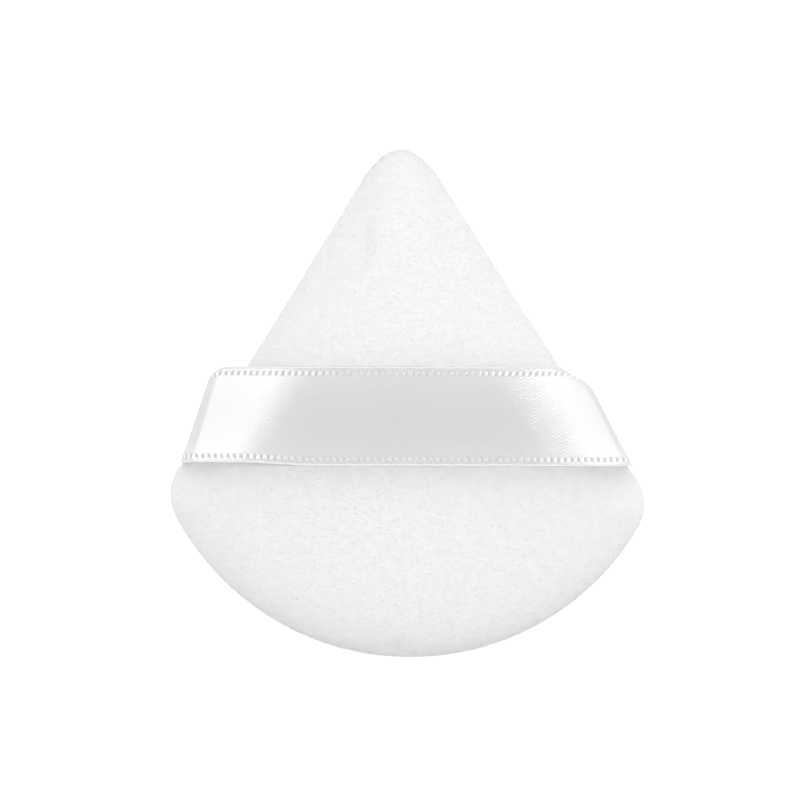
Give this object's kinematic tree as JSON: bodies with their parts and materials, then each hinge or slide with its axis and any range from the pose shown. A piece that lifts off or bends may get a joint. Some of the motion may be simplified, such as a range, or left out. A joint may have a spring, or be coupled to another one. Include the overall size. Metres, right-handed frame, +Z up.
{
  "type": "powder puff",
  "caption": "Triangular velour pad with a rounded base, filled with foam, and a satin ribbon strap across its back that holds it on the fingers, for pressing powder onto the face.",
  "frame": {"origin": "on the table under the middle of the puff's length and width, with the powder face down", "axes": "+Z up out of the ribbon side, +Y from the rounded base towards the tip, +X to the right seen from above with the tip pointing away"},
  "size_m": [0.075, 0.081, 0.02],
  "materials": {
    "velour": "white cotton and polyester velour, short dense pile, matt",
    "satin": "white polyester satin ribbon with woven loop edges, silky gloss",
    "foam": "off-white soft open-cell foam, cut to shape",
    "thread": "white spun polyester sewing thread"
  },
  "bodies": {
    "pad": {"front_panel": "velour", "back_panel": "velour", "foam_core": "foam", "needle_thread": "thread", "bobbin_thread": "thread", "closing_thread": "thread"},
    "strap": {"ribbon_strap": "satin"}
  },
  "joints": [
    {"name": "strap_lift", "type": "slide", "parent": "pad", "child": "strap", "axis": [0, 0, 1], "range_m": [-0.004, 0.006], "stiffness_N_per_m": 15, "deforming": ["ribbon_strap"]}
  ]
}
